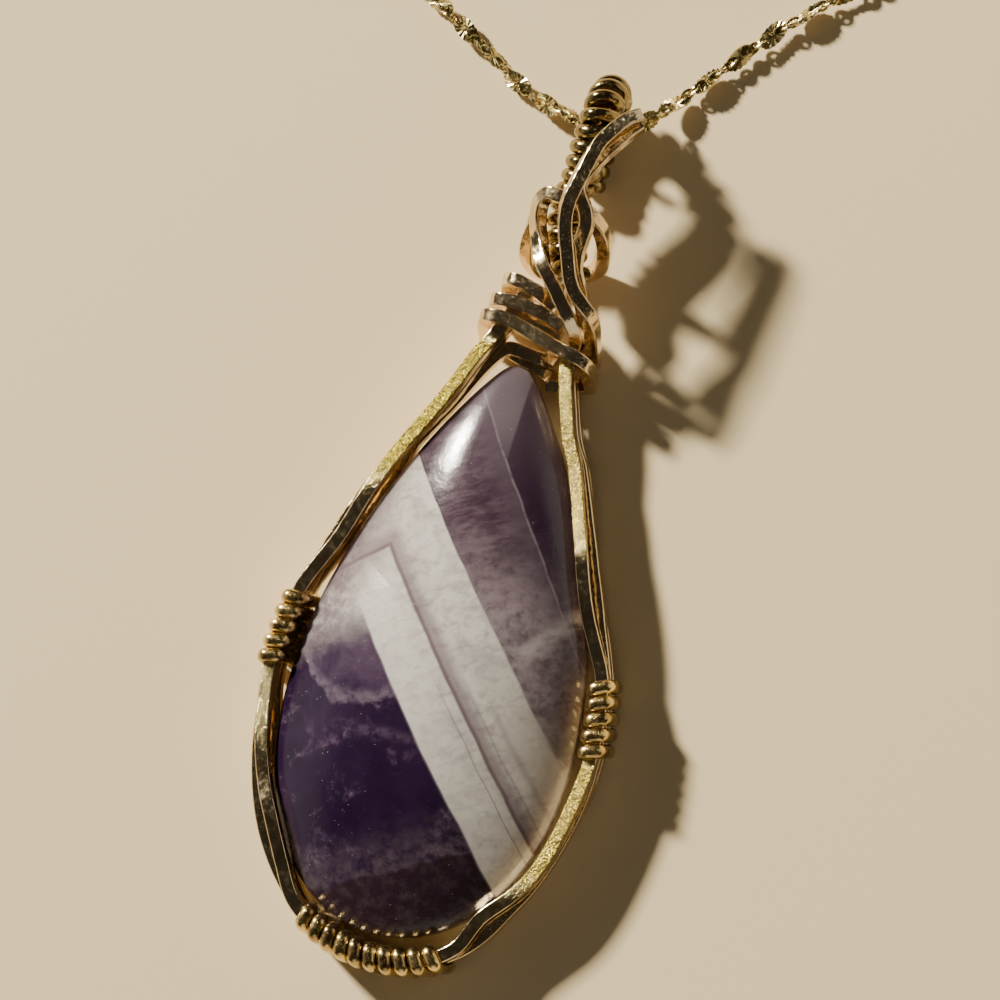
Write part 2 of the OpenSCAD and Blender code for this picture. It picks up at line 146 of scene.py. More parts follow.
# Colours of the gold
GOLD = (0.86, 0.69, 0.42)
GOLD_WORN = (0.68, 0.52, 0.3)
GOLD_SATIN = (0.68, 0.54, 0.07)
GOLD_OLIVE = (0.19, 0.14, 0.035)
GOLD_WRAP = (0.9, 0.68, 0.27)
GOLD_CHAIN = (0.84, 0.7, 0.34)
# Painted shade: the coil's gold, darkened to stand for the dark surroundings it reflects. The
# chain's darker patches use it too.
GOLD_COIL_SHADED = (0.34, 0.275, 0.12)
# Painted shade: the red-brown of gold in shade reflecting gold, laid in patches on the wraps and the
# coil.
GOLD_SHADED_RED = (0.26, 0.17, 0.075)

# Finish of the gold: what adds to its roughness, and the depth of its marks
HAZE_ROUGH = 0.14
SCRATCH_ROUGH = 0.12
SCRATCH_DEPTH = 0.004
FRAME_GLOSS = 0.12
FRAME_HAZE_ROUGH = 0.12
FRAME_DENT = 0.05
SATIN_ROUGH = 0.13
SATIN_DEPTH = 0.11
SATIN_GRAIN = 11.0
# Where the front wire is satin on top, on each side: from, to (Y), how much
SATIN_LEFT = [(6.5, 16.2, 1), (-8.5, -1.5, 0.45)]
SATIN_RIGHT = [(5.5, 16.2, 0.8), (-12.5, -4, 0.9)]

# Colours of the amethyst: its violet field, its white band and its mauve field
VIOLET_DARK = (0.012, 0.004, 0.02)
VIOLET_RICH = (0.02, 0.008, 0.03)
VIOLET_THIN = (0.025, 0.011, 0.036)
VIOLET_LILAC = (0.055, 0.033, 0.062)
WISP = (0.15, 0.1, 0.155)
CRACK = (0.25, 0.19, 0.25)
GROWTH_RIM = (0.15, 0.115, 0.155)
SECOND_RIM = (0.12, 0.085, 0.13)
FOOT_PALE = (0.105, 0.078, 0.095)
FOOT_DARK = (0.023, 0.011, 0.018)
FOOT_GREY = (0.045, 0.03, 0.038)
MILK = (0.64, 0.62, 0.57)
MILK_GREY = (0.47, 0.44, 0.42)
MILK_SPOT = (0.33, 0.29, 0.295)
MILK_STREAK = (0.25, 0.2, 0.22)
MILK_BRIGHT = (0.6, 0.58, 0.54)
MILK_DUSK = (0.24, 0.19, 0.18)
MILK_LILAC = (0.13, 0.09, 0.115)
CLEAR_GREY = (0.48, 0.44, 0.39)
CLEAR_WHITE = (0.66, 0.62, 0.54)
RIDGE = (0.56, 0.54, 0.53)
CHEVRON_SHADE = (0.19, 0.145, 0.165)
CHEVRON_DARK = (0.13, 0.085, 0.105)
BAND_LINE = (0.16, 0.12, 0.14)
MAUVE_DARK = (0.048, 0.025, 0.042)
MAUVE_LIGHT = (0.12, 0.083, 0.108)
MAUVE_DEEP = (0.028, 0.01, 0.028)
MAUVE_GLOW = (0.36, 0.3, 0.32)
MAUVE_CLOUD = (0.025, 0.01, 0.022)
MAUVE_TOP = (0.1, 0.075, 0.092)
PALE_SHADE = (0.2, 0.16, 0.19)
PALE_LINE = (0.28, 0.24, 0.27)
CROSSING = (0.46, 0.41, 0.42)
WEDGE = (0.22, 0.19, 0.21)
FOOT_MILK = (0.42, 0.37, 0.345)
FOOT_WHITE = (0.6, 0.56, 0.5)
SEAM = (0.5, 0.47, 0.46)
GROOVE = (0.03, 0.015, 0.025)
SPECK = (0.5, 0.47, 0.52)
STONE_TONE = (0.1, 0.05, 0.12)

# Places on the amethyst, in millimetres from the middle of the stone. A way is the direction
# across a line, and the place is how far along that way the line lies.
BAND_WAY = (0.777, 0.63)
BAND_LEFT = -2.94
BAND_RIGHT = 2.9
RIDGE_AT = -2.8
MILK_AT = -1.6
GROOVE_AT = 2.95
SEAM_HALF = 0.09
EDGE_HALF = 0.06
ARM_WAY = (-0.577, 0.817)
ARM_AT = 6.13
CHEVRON_AT = -0.2
PALE_WAY = (0.828, 0.56)
PALE_AT = 6.4
CROSSING_WAY = (-0.78, 0.62)
CROSSING_AT = -3.2
GROWTH_X = -4.3
GROWTH_Y = -4.0
SECOND_Y = -5.2
FOOT_WAY = (-0.5, 1.0)
# Fine dark lines low in the white band: place across it, half width, strength
BAND_LINES = [(-0.85, 0.08, 0.5), (0.5, 0.1, 0.35), (1.25, 0.3, 0.3)]

# Glow and polish of the amethyst. The face is bowed a little on both sides of a line that
# lies BOW_FROM from the middle, against BOW_WAY.
GLOW_WEIGHT = 0.75
GLOW_REACH = 3.5
GLOW_RADIUS = (1.0, 0.85, 0.75)
STONE_ROUGH = 0.17
STONE_HAZE = 0.08
COAT_WEIGHT = 0.3
COAT_ROUGH = 0.06
STONE_IOR = 1.54
BOW_WAY = (-0.53, -0.85)
BOW_FROM = 8.3
BOW = -0.02
POLISH_WAVE = 0.02
POLISH_GRAIN = 0.009

# Camera, fitted to the photograph's perspective: rows of its axes and its place
CAMERA_LENS = 159.56
CAMERA_ROWS = ((0.94601, -0.21719, 0.24061, 0.056204),
               (0.24642, 0.96414, -0.09853, -0.014540),
               (-0.21058, 0.15250, 0.96561, 0.224490),
               (0, 0, 0, 1))

# Lights: name, way to it, size, power and colour. All are LIGHT_FAR metres off.
LIGHT_FAR = 1.2
LIGHTS = [("key", (-0.73, 0.46, 0.51), 0.11, 43.0, (1, 0.92, 0.78)),
          ("fill_left", (-0.9, -0.3, 0.25), 0.96, 1.2, (1, 0.9, 0.76)),
          ("fill_right", (0.85, 0.45, 0.3), 0.96, 2.3, (1, 0.9, 0.76)),
          ("fill_low", (0.3, -0.95, 0.3), 0.96, 2.3, (1, 0.9, 0.76))]
# Sky and floor. Half the floor's width is in metres.
SKY = (1, 0.9, 0.78, 1)
SKY_STRENGTH = 0.028
FLOOR = (0.8, 0.65, 0.39)
FLOOR_HALF = 1

# Distance of the frame from the stone's edge: (angle, distance less RING_GAP)
FRAME_ROWS = [(88, 0), (128, 0), (140, 0.03), (152, 0.12), (164, 0.22), (173, 0.25), (180, 0.1),
              (189, -0.12), (197, -0.12), (210, -0.06), (224, 0), (266, 0)]
# How far the front wire is bent in over the stone: (angle, distance)
FRONT_LEAN = [(263, 0.33), (257, 0.35), (250, 0.4), (245, 0.52), (242, 0.5), (238, 0.26),
              (235.5, 0.06), (234, 0), (229, 0), (224, 0), (221, 0.12), (218.8, 0.24),
              (214, 0.4), (209, 0.64), (204.5, 0.86), (200.5, 0.8), (197.5, 0.55), (195, 0.28),
              (193, 0.06), (191, 0), (185, 0), (181, 0), (177, 0), (173, 0), (170, 0),
              (168, 0.08), (166.4, 0.3), (165, 0.65), (163, 0.88), (161, 0.84), (159, 0.7),
              (157, 0.54), (154, 0.42), (150, 0.35), (146, 0.3), (142, 0.16), (139.5, 0.04),
              (138, 0), (134, 0), (128.4, 0), (127, 0.16), (124.5, 0.46), (121.5, 0.74),
              (118, 0.88), (114, 0.9), (111, 0.85), (105.5, 0.74), (100, 0.58), (94, 0.38)]
MIDDLE_LEAN = [(263, 0.12), (250, 0.1), (240, 0.06), (234, 0), (224, 0), (210, 0.1), (200, 0.1),
               (192, 0.02), (186, 0), (180, 0), (174, 0), (167, 0.02), (160, 0.4), (150, 0.3),
               (141, 0.04), (137, 0), (129, 0), (122, 0.4), (114, 0.55), (106, 0.5), (94, 0.24)]
# The back wire is bent in under the stone and down to the surface: (angle, in, down)
BACK_LEAN = [(263, 0.2, 0), (256, 0.5, 0.2), (248, 0.75, 0.4), (240, 0.3, 0.1), (235, 0, 0),
             (229, 0, 0), (223.5, 0, 0), (216, 0.5, 0.3), (207, 0.8, 0.4), (198, 0.4, 0.2),
             (191.5, 0, 0), (186, 0, 0), (180, 0, 0), (174, 0, 0), (169, 0, 0), (161, 0.7, 0.4),
             (150, 0.7, 0.4), (142, 0.1, 0.05), (138, 0, 0), (129, 0, 0), (121, 0.5, 0.3),
             (112, 0.75, 0.4), (103, 0.5, 0.2), (95, 0.25, 0)]

# Routes above the stone: [x, y above the tip, z, roll of the section where it isn't level]
FRONT_LEFT_END = [[1.15, 3.42, 2.3], [0.6, 3.78, 2.42], [0.1, 3.92, 2.55], [-0.35, 3.75, 2.65],
                  [-0.65, 3.25, 2.67], [-0.88, 2.6, 2.66], [-1.18, 1.9, 2.66],
                  [-1.58, 1.1, 2.67], [-2.18, 0, 2.67], [-3.3, -2.4, 2.5]]
FRONT_RIGHT_END = [[3.65, -3.1, 2.5], [3.15, -1.5, 2.65], [2.77, -0.2, 2.69], [2.65, 0.6, 2.69],
                   [2.75, 1.3, 2.69], [2.88, 1.75, 2.95], [2.84, 2.15, 3.65], [2.58, 2.6, 4.25],
                   [2.16, 3.14, 4.65, 8], [1.68, 3.74, 4.88, 14], [1.18, 4.35, 4.96, 12],
                   [0.68, 4.97, 4.9], [0.28, 5.66, 4.7, -20], [0, 6.37, 4.5, -36],
                   [-0.3, 7.06, 4.35, -44], [-0.45, 7.77, 4.35, -46], [-0.38, 8.4, 4.6, -34],
                   [-0.02, 8.75, 4.9, -14], [0.5, 8.72, 5.05], [1.2, 8.6, 5.1],
                   [1.9, 8.4, 4.95, 20], [2.48, 8.02, 4.4, 55], [2.88, 7.6, 3.8, 80],
                   [3.05, 7.08, 3, 90], [2.96, 6.6, 2.1, 105], [2.7, 6.25, 1.2, 130],
                   [2.15, 5.85, 0.55, 165], [1.2, 5.5, 0.37, 180], [0.3, 5.35, 0.4, 185],
                   [-0.5, 5.3, 0.6, 205], [-1, 5.6, 1.15, 240], [-1.17, 6.05, 1.8, 262],
                   [-1.12, 6.6, 2.4, 272], [-0.95, 7.15, 2.95, 285], [-0.8, 7.5, 3.3, 295]]
MIDDLE_LEFT_END = [[1.75, 2, 1.9], [1.2, 2.25, 1.9], [0.5, 2.45, 1.9], [-0.2, 2.5, 1.9],
                   [-0.85, 2.25, 1.9], [-1.25, 1.75, 1.9], [-1.6, 1.05, 1.92], [-2.18, 0, 1.9],
                   [-3.3, -2.4, 1.74]]
MIDDLE_RIGHT_END = [[3.7, -3.1, 1.74], [3.2, -1.5, 1.88], [2.8, -0.2, 1.93], [2.68, 0.6, 1.93],
                    [2.75, 1.5, 1.93], [2.86, 2.1, 2], [2.9, 2.75, 2.35], [2.9, 3.25, 3],
                    [2.87, 3.65, 3.7], [2.78, 4.1, 4.25], [2.55, 4.6, 4.72], [2.35, 5.2, 5],
                    [2.3, 5.9, 5.2], [2.4, 6.65, 5.42], [2.5, 7.4, 5.62], [2.36, 8.05, 5.8],
                    [1.95, 8.65, 5.9], [1.72, 9.15, 5.9], [1.76, 9.7, 5.86], [2.05, 10.35, 5.8],
                    [2.42, 11.1, 5.7], [2.9, 11.92, 5.46], [3.35, 12.65, 5.14],
                    [3.75, 13.25, 4.8]]
BACK_LEFT_END = [[1.45, 0.8, 1.65, 60], [1.15, 0.72, 1.27, 30], [0.4, 0.78, 1.14],
                 [-0.4, 0.92, 1.14], [-1, 0.92, 1.14], [-1.5, 0.5, 1.14], [-2.12, -0.4, 1.12],
                 [-3.3, -2.5, 0.97]]
BACK_RIGHT_END = [[3.75, -3.1, 0.97], [3.2, -1.5, 1.12], [2.8, -0.2, 1.14], [2.68, 0.7, 1.14],
                  [2.7, 1.4, 1.14]]
NECK_BAND_ROUTE = [[2.6, -0.15, 0.37, 180], [3.1, -0.12, 0.37, 180], [3.6, -0.02, 0.6, 135],
                   [3.75, 0.1, 1.3, 95], [3.74, 0.38, 2.3, 85], [3.58, 0.68, 3.12, 45],
                   [3, 0.97, 3.5], [2.2, 1.17, 3.45], [1.2, 1.47, 3.44], [0.3, 1.75, 3.44],
                   [-0.5, 2, 3.44], [-1.3, 2.12, 3.45], [-1.95, 2.1, 3.25, -45],
                   [-2.22, 1.9, 2.65, -80], [-2.3, 1.68, 1.95, -90], [-2.36, 1.45, 1.1, -100],
                   [-2.33, 1.25, 0.55, -135], [-1.6, 1.05, 0.37, -180], [-0.6, 0.7, 0.37, -180],
                   [0.7, 0.3, 0.37, -180], [1.4, 0.05, 0.55, -200], [1.8, -0.3, 1, -240],
                   [1.95, -0.6, 1.75, -270]]
UPPER_RING_ROUTE = [[0.8, 3.58, 3.26, 25], [0.35, 3.83, 3.42, 10], [-0.15, 4, 3.46],
                    [-0.6, 4.13, 3.44], [-1, 4.2, 3.4], [-1.35, 4.2, 3.1, -45],
                    [-1.5, 4.05, 2.6, -75], [-1.52, 3.85, 2, -90], [-1.48, 3.8, 1.35, -105],
                    [-1.1, 3.8, 1, -150], [-0.4, 3.8, 0.97, -180], [0.2, 3.75, 0.97, -180]]
SCROLL_ROUTE = [[3.85, 13.62, 5.6, 10], [3.45, 13.3, 5.9, 8], [3.05, 12.8, 6.2, 10],
                [2.64, 12.17, 6.42, 14], [2.33, 11.6, 6.58, 20], [2.13, 10.95, 6.68, 25],
                [1.98, 10.35, 6.72, 28], [1.83, 9.72, 6.76, 30], [1.7, 9.12, 6.8, 30],
                [1.55, 8.35, 6.8, 28], [1.52, 7.62, 6.65, 25], [1.62, 6.95, 6.48, 20],
                [1.8, 6.3, 6.3, 15], [2, 5.71, 6.1, 10], [2.2, 5.1, 5.92, 5],
                [2.42, 4.5, 5.72, 0], [2.75, 3.9, 5.45, 5], [3.2, 3.4, 5.1, 20],
                [3.55, 3, 4.6, 40], [3.7, 2.55, 3.9, 65], [3.71, 2.1, 3.1, 80],
                [3.67, 1.7, 2.3, 90], [3.6, 1.45, 1.5, 95], [3.55, 1.35, 0.85, 115],
                [3.3, 1.3, 0.45, 150], [2.9, 1.33, 0.37, 180], [2, 1.55, 0.37, 180],
                [0.8, 1.8, 0.37, 180], [-0.4, 2.1, 0.38, 180], [-1.3, 2.35, 0.42, 195],
                [-1.8, 2.55, 1, 245], [-1.93, 2.75, 1.8, 270], [-1.9, 2.92, 2.6, 280],
                [-1.68, 3.02, 3.25, 320], [-1.15, 3.06, 3.46, 360], [-0.4, 3.04, 3.44, 360],
                [0.7, 2.84, 3.44, 360], [1.5, 2.56, 3.44, 360], [2.1, 2.3, 3.44, 360]]
CORE_ROUTE = [[1.95, 2.9, 2.62, 90], [1.9, 3.7, 2.75, 90], [1.85, 4.5, 2.95, 90],
              [1.6, 5.5, 3.15, 90], [1.15, 6.4, 3.25, 90], [0.9, 7.4, 3.4, 90],
              [0.88, 8.4, 3.55, 90], [1, 9.3, 3.65, 90], [1.15, 10.1, 3.85, 90],
              [1.25, 11, 4.15, 90], [1.35, 11.9, 4.4, 90], [1.47, 12.8, 4.58, 90],
              [1.53, 13.7, 4.5, 90], [1.5, 14.4, 4, 90], [1.45, 14.85, 3.3, 90],
              [1.4, 14.87, 2.5, 90], [1.3, 14.4, 1.75, 90], [1.1, 13.6, 1.25, 90],
              [0.95, 12.4, 1.1, 90], [0.87, 11, 1.09, 90], [0.8, 9.5, 1.09, 90],
              [0.8, 8, 1.09, 90], [0.9, 6.5, 1.09, 90], [1, 5, 1.09, 90], [1.1, 3.4, 1.09, 90],
              [1.15, 1.8, 1.09, 90]]
CHAIN_LEFT_ROUTE = [[1.38, 12.95, 2.86], [1, 12.95, 2.86], [0.5, 13, 2.78], [-0.4, 13.4, 2.25],
                    [-1.5, 13.95, 1.2], [-2.6, 14.2, 0.66], [-3.7, 14.6, 0.62], [-5, 15.5, 0.62],
                    [-10.2, 18.8, 0.62], [-22, 26.5, 0.62], [-38, 38, 0.62], [-53, 54, 0.62],
                    [-63, 74, 0.62], [-67, 97, 0.62], [-65, 120, 0.62], [-57, 140, 0.62],
                    [-43, 156, 0.62], [-24, 166, 0.62], [-9, 168, 0.62], [-3, 168, 0.62]]
CHAIN_RIGHT_ROUTE = [[1.52, 12.95, 2.86], [1.9, 12.95, 2.86], [2.4, 13.1, 2.75],
                     [3.1, 13.8, 2.2], [3.9, 14.9, 1.15], [4.6, 15.9, 0.66], [5.5, 16.9, 0.62],
                     [10.5, 22.1, 0.62], [22, 31.5, 0.62], [38, 43, 0.62], [53, 57, 0.62],
                     [65, 75, 0.62], [70, 97, 0.62], [69, 119, 0.62], [61, 140, 0.62],
                     [46, 156, 0.62], [27, 166, 0.62], [12, 168, 0.62], [6, 168, 0.62]]


# ---- Curves and outlines ----
def outline(angle, distance):
    """Points at a distance outside the stone's edge, at angles in degrees from the tip."""
    belly_sine = math.sqrt((1 + STONE_TAPER) / (2 + STONE_TAPER))
    reach = 2 * math.sqrt(1 / (2 + STONE_TAPER)) * belly_sine ** (1 + STONE_TAPER)
    core_w = (STONE_W / 2 - TIP_R) / reach
    core_l = STONE_L - 2 * TIP_R

    def bare(a):
        u = a - ANGLE_BIAS * np.sin(a)
        return np.stack([core_w * np.sin(u) * np.abs(np.sin(u / 2)) ** STONE_TAPER,
                         core_l / 2 * np.cos(u)], -1)

    a = np.radians(np.asarray(angle, float))
    step = math.radians(0.5)
    way = bare(a + step) - bare(a - step)
    way /= np.linalg.norm(way, axis=-1, keepdims=True)
    out = np.stack([-way[..., 1], way[..., 0]], -1)
    return bare(a) + (TIP_R + np.asarray(distance, float)[..., None]) * out, out


def dome_z(scale):
    return GIRDLE_TOP + (STONE_T - GIRDLE_TOP) * np.maximum(1 - scale ** 2, 0) ** DOME_POWER


def rows_of(route):
    """A route as rows of x, y, z and roll, placed from the stone's tip."""
    rows = np.array([list(r) + [0] * (4 - len(r)) for r in route], float)
    rows[:, :3] += TIP
    return rows


def curve(rows, steps):
    """A smooth curve through rows, with steps points to each stretch."""
    n = len(rows)
    out = []
    for i in range(n - 1):
        a, b, c, d = rows[max(i - 1, 0)], rows[i], rows[i + 1], rows[min(i + 2, n - 1)]
        for f in np.arange(steps) / steps:
            out.append(b + 0.5 * f * (c - a + f * (2 * a - 5 * b + 4 * c - d
                                                   + f * (3 * (b - c) + d - a))))
    out.append(rows[-1])
    return np.array(out)


def unit(v):
    return v / np.linalg.norm(v, axis=-1, keepdims=True)


def directions(path):
    ahead = np.concatenate([path[1:], path[-1:]])
    behind = np.concatenate([path[:1], path[:-1]])
    return unit(ahead - behind)


def square_to(v, direction):
    return unit(v - np.sum(v * direction, -1, keepdims=True) * direction)


def lengths(path):
    return np.concatenate([[0], np.cumsum(np.linalg.norm(np.diff(path, axis=0), axis=1))])


def along(path, s):
    """Points at lengths s along a path."""
    at = lengths(path)
    return np.stack([np.interp(s, at, path[:, k]) for k in range(path.shape[1])], -1)


def table(rows, column, angle):
    """A table's smoothed value at each angle."""
    rows = sorted((r[0], r[column]) for r in rows)
    x, y = [r[0] for r in rows], [r[1] for r in rows]
    half = RING_STEP / 2
    return (np.interp(angle - half, x, y) + 2 * np.interp(angle, x, y)
            + np.interp(angle + half, x, y)) / 4


def frame_distance(angle):
    return RING_GAP + np.interp(angle, [r[0] for r in FRAME_ROWS], [r[1] for r in FRAME_ROWS])


# ---- Mesh building ----
def add_mesh(name, points, faces, normals=None, smooth=True):
    mesh = bpy.data.meshes.new(name)
    mesh.from_pydata((np.asarray(points) * MM).tolist(), [], faces)
    mesh.polygons.foreach_set("use_smooth", [smooth] * len(mesh.polygons))
    if normals is not None:
        mesh.normals_split_custom_set_from_vertices(np.asarray(normals).tolist())
    mesh.update()
    obj = bpy.data.objects.new(name, mesh)
    bpy.context.scene.collection.objects.link(obj)
    return obj


def square_section(width, round_r, arc=3):
    """Points and normals of a square with rounded corners."""
    points, normals = [], []
    inner = width / 2 - round_r
    for cx, cy, start in ((-1, -1, 180), (1, -1, 270), (1, 1, 0), (-1, 1, 90)):
        for i in range(arc + 1):
            a = math.radians(start + 90 * i / arc)
            normals.append((math.cos(a), math.sin(a)))
            points.append((cx * inner + round_r * math.cos(a), cy * inner + round_r * math.sin(a)))
    return np.array(points), np.array(normals)


def round_section(width):
    a = 2 * math.pi * np.arange(WIRE_SIDES) / WIRE_SIDES
    ring = np.stack([np.cos(a), np.sin(a)], -1)
    return ring * width / 2, ring


def dome_section(width, thick, sides=10):
    """The half-round wire: flat inside, domed outside."""
    a = math.pi * np.arange(sides + 1) / sides
    top = np.stack([np.cos(a) * width / 2, np.sin(a) * thick - thick / 2], -1)
    bend = unit(np.stack([np.cos(a) / width, np.sin(a) / (2 * thick)], -1))
    flat = np.array([[-WRAP_FLAT * width, -thick / 2], [WRAP_FLAT * width, -thick / 2]])
    return np.concatenate([top, flat]), np.concatenate([bend, [[0, -1], [0, -1]]])


def sweep(path, ups, section, bevel):
    """Points, faces and normals of a solid swept along a path, its ends closed and bevelled."""
    points2, normals2 = section
    dirs = directions(path)
    up = square_to(ups, dirs)
    right = np.cross(dirs, up)
    n, rings = len(points2), len(path)
    at = lengths(path)
    inside = np.clip(1 - np.minimum(at, at[-1] - at) / bevel, 0, 1)
    scale = 1 - bevel / np.abs(points2).max() * (1 - np.sqrt(1 - inside ** 2))
    pts = (path[:, None] + scale[:, None, None] * (points2[None, :, :1] * right[:, None]
                                                   + points2[None, :, 1:] * up[:, None]))
    nrm = normals2[None, :, :1] * right[:, None] + normals2[None, :, 1:] * up[:, None]
    faces = [(i * n + j, (i + 1) * n + j, (i + 1) * n + (j + 1) % n, i * n + (j + 1) % n)
             for i in range(rings - 1) for j in range(n)]
    pts, nrm = pts.reshape(-1, 3), nrm.reshape(-1, 3)
    caps = np.concatenate([pts[:n], pts[-n:]])
    cap_normals = np.concatenate([np.repeat(-dirs[:1], n, 0), np.repeat(dirs[-1:], n, 0)])
    base = len(pts)
    faces.append(tuple(base + j for j in range(n)))
    faces.append(tuple(base + n + j for j in reversed(range(n))))
    return np.concatenate([pts, caps]), faces, np.concatenate([nrm, cap_normals])


def rolled(rows):
    """Where the section's upward side points at each row."""
    roll = np.radians(rows[:, 3])
    return np.stack([np.sin(roll), np.zeros(len(rows)), np.cos(roll)], -1)


def dress(obj, node, material):
    """The piece stands for a CAD node, rides on the one body and gets its material."""
    obj.data.materials.append(material)
    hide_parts(node)
    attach(obj, "root")


def swept_wire(name, path, ups, section, material, bevel=END_BEVEL):
    points, faces, normals = sweep(path, ups, section, bevel)
    dress(add_mesh(name, points, faces, normals), name, material)


# ---- Frame wires ----
def frame_path(left_end, right_end, lean, level):
    """Up from the neck on the left, round the stone and back up on the right."""
    def at(angles):
        inward = table(lean, 1, angles)
        place, _ = outline(angles, frame_distance(angles) - inward)
        return np.column_stack([place, level(angles, inward), np.zeros(len(angles))])

    lead_ring = at(np.array([RING_FROM, RING_FROM - RING_STEP]))
    tail_ring = at(np.array([RING_TO + RING_STEP, RING_TO]))
    ring = at(np.arange(RING_FROM, RING_TO - 0.01, -RING_STEP / RING_FINE))
    lead = curve(np.concatenate([rows_of(left_end), lead_ring]), END_STEPS)
    tail = curve(np.concatenate([tail_ring, rows_of(right_end)]), END_STEPS)
    return np.concatenate([lead[:len(left_end) * END_STEPS], ring, tail[END_STEPS + 1:]])


def front_level(angles, inward):
    inset = WIRE_W / 2 + inward - frame_distance(angles)
    shoulder = dome_z(1 - np.maximum(inset, 0) / (STONE_W / 2)) + RISE * np.minimum(inset, 0)
    over = shoulder + WIRE_W / 2 + SLACK
    return (STACK_TOP + over + np.hypot(STACK_TOP - over, RISE_BLEND)) / 2


def middle_level(angles, _):
    return np.full(len(angles), STACK_MID)


def back_level(angles, _):
    return STACK_LOW - table(BACK_LEAN, 2, angles)


def square_wire(name, rows, material):
    swept_wire(name, rows[:, :3], rolled(rows), square_section(WIRE_W, EDGE_R), material)


# ---- Wraps ----
def wrap_path(middle, turns, step):
    """Half-round wire wound round the stack of frame wires, and its outward side."""
    reach = np.array([WIRE_W / 2 + WRAP_SLACK + WRAP_T / 2,
                      (WIRE_COUNT * STACK_PITCH - SLACK) / 2 + WRAP_CROWN + WRAP_T / 2])
    turn = np.arange(WRAP_START, 360 * turns + WRAP_END + 0.01, 360 / TURN_STEPS)
    way = np.stack([np.cos(np.radians(turn)), np.sin(np.radians(turn))], -1)
    size = np.sum(np.abs(way) ** WRAP_POWER, -1, keepdims=True) ** (-1 / WRAP_POWER)
    place = reach * way * size
    out = unit(np.sign(way) * np.abs(way) ** (WRAP_POWER - 1) / reach)
    angle = middle + (turn / 360 - turns / 2) * step
    edge, outward = outline(angle, frame_distance(angle) + place[:, 0])
    return (np.column_stack([edge, STACK_MID + place[:, 1]]),
            np.column_stack([outward * out[:, :1], out[:, 1]]))


def wrap(name, middle, turns, step, material):
    path, ups = wrap_path(middle, turns, step)
    swept_wire(name, path, ups, dome_section(WRAP_W, WRAP_T), material)


# ---- Bail ----
def coil_path():
    """The round wire of the bail, wound round its core at an even pitch."""
    core = curve(rows_of(CORE_ROUTE), CORE_STEPS)[:, :3]
    count = int((COIL_END - COIL_START) / COIL_PITCH * COIL_RINGS)
    s = COIL_START + np.arange(count + 1) * COIL_PITCH / COIL_RINGS
    ahead = unit(along(core, s + COIL_AHEAD) - along(core, s - COIL_AHEAD))
    side = square_to(np.array([[1.0, 0, 0]]), ahead)
    a = 2 * math.pi * np.arange(count + 1)[:, None] / COIL_RINGS
    ways = np.cos(a) * side + np.sin(a) * np.cross(ahead, side)
    return along(core, s) + (COIL_D - COIL_WIRE_D) / 2 * ways, ways


# ---- Stone ----
def unit_ellipse(out):
    """Where an oval inside the stone's outline faces the given ways out."""
    size = np.array([INNER_W, INNER_L])
    return size ** 2 * out / np.linalg.norm(size * out, axis=-1, keepdims=True)


def stone_mesh(name):
    """The cabochon: flat back, bevelled foot, upright girdle and domed face."""
    a = 360 * np.arange(STONE_SIDES) / STONE_SIDES
    edge, out = outline(a, 0)
    centre = np.array([0, BELLY_Y])
    low = [(BACK_SCALE, 0), ((1 + BACK_SCALE) / 2, GIRDLE_LOW / 2), (1, GIRDLE_LOW)]
    profile = []
    for (s0, z0), (s1, z1) in zip(low[:-1], low[1:]):
        profile += [(s0 + (s1 - s0) * f, z0 + (z1 - z0) * f)
                    for f in np.arange(LOW_RINGS) / LOW_RINGS]
    profile += [(1, z) for z in np.linspace(GIRDLE_LOW, GIRDLE_TOP, LOW_RINGS + 1)[:-1]]
    rise = np.linspace(0, math.pi / 2, DOME_RINGS + 1)[:-1]
    profile += [(math.cos(t), float(dome_z(math.cos(t)))) for t in rise]
    inner = np.array([0, INNER_Y]) + unit_ellipse(out)
    points = []
    for s, z in profile:
        share = 1 - s ** 2 if z > GIRDLE_TOP else 0
        ring = (1 - share) * (centre + s * (edge - centre)) + share * (centre + s * (inner - centre))
        points.append(np.column_stack([ring, np.full(len(edge), z)]))
    n, rings = STONE_SIDES, len(profile)
    faces = [(k * n + i, k * n + (i + 1) % n, (k + 1) * n + (i + 1) % n, (k + 1) * n + i)
             for k in range(rings - 1) for i in range(n)]
    crown = rings * n
    faces += [((rings - 1) * n + i, (rings - 1) * n + (i + 1) % n, crown) for i in range(n)]
    points = np.concatenate(points + [[[0, BELLY_Y, STONE_T]], points[0]])
    faces.append(tuple(crown + 1 + i for i in reversed(range(n))))
    return add_mesh(name, points, [tuple(reversed(f)) for f in faces])


# ---- Chain ----
def link_shape():
    """An oval link of round wire, lying flat with its length along X."""
    points, faces = [], []
    for i in range(LINK_STEPS):
        a = 2 * math.pi * i / LINK_STEPS
        way = np.array([math.cos(a), math.sin(a), 0])
        centre = way * [(LINK_L - LINK_WIRE) / 2, (LINK_W - LINK_WIRE) / 2, 0]
        for j in range(LINK_SIDES):
            b = 2 * math.pi * (j + 0.5) / LINK_SIDES
            points.append(centre + LINK_WIRE / 2 * (way * math.cos(b) + [0, 0, math.sin(b)]))
            k, m = (i + 1) % LINK_STEPS, (j + 1) % LINK_SIDES
            faces.append((i * LINK_SIDES + j, k * LINK_SIDES + j, k * LINK_SIDES + m,
                          i * LINK_SIDES + m))
    return np.array(points), faces


